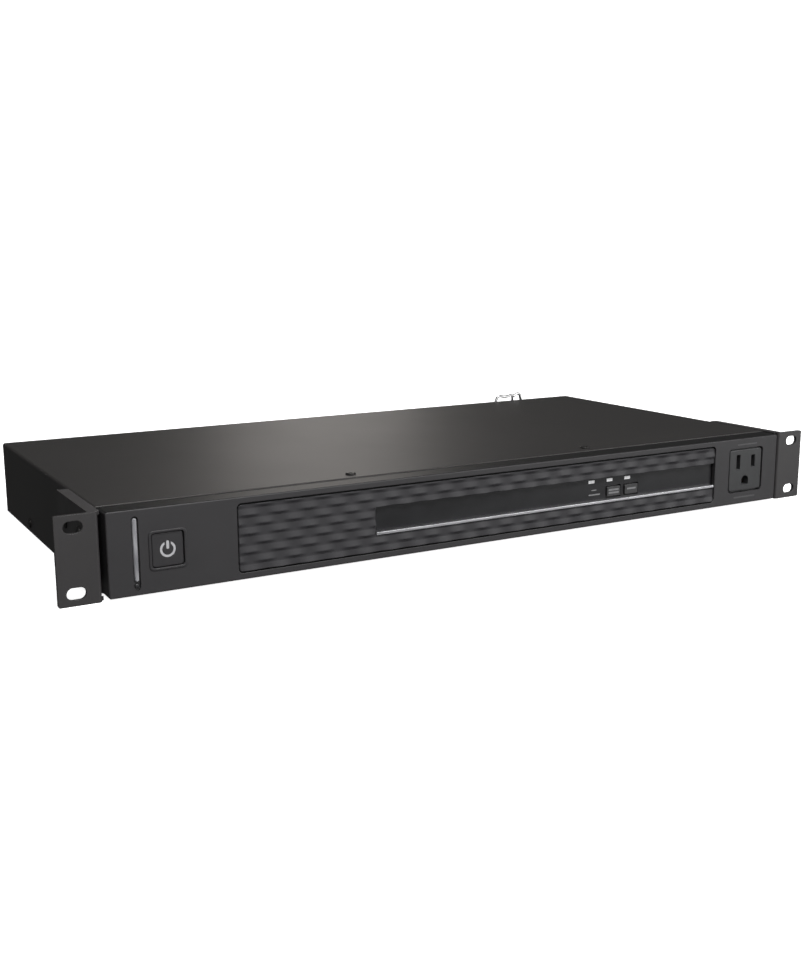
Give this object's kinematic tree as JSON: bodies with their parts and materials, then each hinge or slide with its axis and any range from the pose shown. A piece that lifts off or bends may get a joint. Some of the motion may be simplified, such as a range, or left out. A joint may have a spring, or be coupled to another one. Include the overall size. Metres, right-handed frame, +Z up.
{
  "type": "rack power strip",
  "caption": "One-unit rack-mount power strip with slotted ears, a textured fascia, a power button, a front outlet and rear outlets.",
  "frame": {"origin": "centre of the rack hole pattern, on the rear (mounting) face of the ears", "axes": "+X right seen from the front, -Y out of the front, +Z up"},
  "size_m": [0.4826, 0.2344, 0.0485],
  "materials": {
    "painted_steel": "satin black powder coat",
    "fascia_plastic": "moulded charcoal, matte",
    "gloss_black": "satin black",
    "display_plastic": "satin dark strip",
    "trim_metal": "brushed",
    "light_guide": "translucent white",
    "outlet_plastic": "satin black",
    "black_screws": "black oxide",
    "plated_steel": "zinc plated",
    "bail_steel": "plain spring steel",
    "brass": "plain",
    "circuit_board": "solder mask",
    "component_black": "moulded",
    "component_blue": "epoxy coated",
    "ferrite": "coated ferrite",
    "terminal_green": "moulded",
    "wire_jacket": "insulation"
  },
  "bodies": {
    "case": {"chassis_base": "painted_steel", "top_cover": "painted_steel", "rack_ear_left": "painted_steel", "rack_ear_right": "painted_steel", "front_bezel": "fascia_plastic", "textured_panel": "fascia_plastic", "power_button_frame": "gloss_black", "display_window": "display_plastic", "trim_strip": "trim_metal", "light_bar": "light_guide", "status_light_pipes": "light_guide", "indicator_leds": "light_guide", "front_outlet": "outlet_plastic", "rear_outlet_1": "outlet_plastic", "rear_outlet_2": "outlet_plastic", "rear_outlet_3": "outlet_plastic", "rear_outlet_4": "outlet_plastic", "rear_outlet_5": "outlet_plastic", "rear_outlet_6": "outlet_plastic", "rear_outlet_7": "outlet_plastic", "rear_outlet_8": "outlet_plastic", "ear_screws": "black_screws", "cover_screws": "black_screws", "bezel_screws": "black_screws", "board_screws": "plated_steel", "standoff_screws": "plated_steel", "inlet_screws": "plated_steel", "bail_brackets": "plated_steel", "ground_nut": "plated_steel", "ground_stud": "plated_steel", "power_button_spring": "plated_steel", "breaker_nut": "plated_steel", "board_standoffs": "plated_steel", "front_outlet_contacts": "brass", "rear_outlet_contacts": "brass", "inlet_pins": "brass", "line_busbar": "brass", "neutral_busbar": "brass", "ground_busbar": "brass", "surge_board": "circuit_board", "display_board": "circuit_board", "power_button_board": "circuit_board", "inlet_housing": "component_black", "breaker_body": "component_black", "outlet_relays": "component_black", "power_module": "component_black", "tact_switches": "component_black", "power_switch_body": "component_black", "line_fuse": "component_black", "varistors": "component_blue", "film_capacitor": "component_blue", "filter_choke": "ferrite", "terminal_block": "terminal_green", "internal_wires": "wire_jacket"},
    "power_button": {"power_button": "gloss_black", "power_icon": "light_guide"},
    "mode_button": {"mode_button": "gloss_black"},
    "reset_button": {"reset_button": "gloss_black"},
    "breaker_button": {"breaker_button": "component_black"},
    "bail": {"bail_wire": "bail_steel"}
  },
  "joints": [
    {"name": "power_button_press", "type": "slide", "parent": "case", "child": "power_button", "axis": [0, 1, 0], "range_m": [0, 0.002], "stiffness_N_per_m": 400, "springref_m": -0.001, "deforming": ["power_button_spring"]},
    {"name": "mode_button_press", "type": "slide", "parent": "case", "child": "mode_button", "axis": [0, 1, 0], "range_m": [0, 0.0005], "stiffness_N_per_m": 1500, "springref_m": -0.0005},
    {"name": "reset_button_press", "type": "slide", "parent": "case", "child": "reset_button", "axis": [0, 1, 0], "range_m": [0, 0.0005], "stiffness_N_per_m": 1500, "springref_m": -0.0005},
    {"name": "breaker_trip", "type": "slide", "parent": "case", "child": "breaker_button", "axis": [0, 1, 0], "range_m": [0, 0.004]},
    {"name": "bail_swing", "type": "hinge", "parent": "case", "child": "bail", "pos_m": [0.166, 0.225, 0], "axis": [-1, 0, 0], "range_deg": [0, 95]}
  ]
}
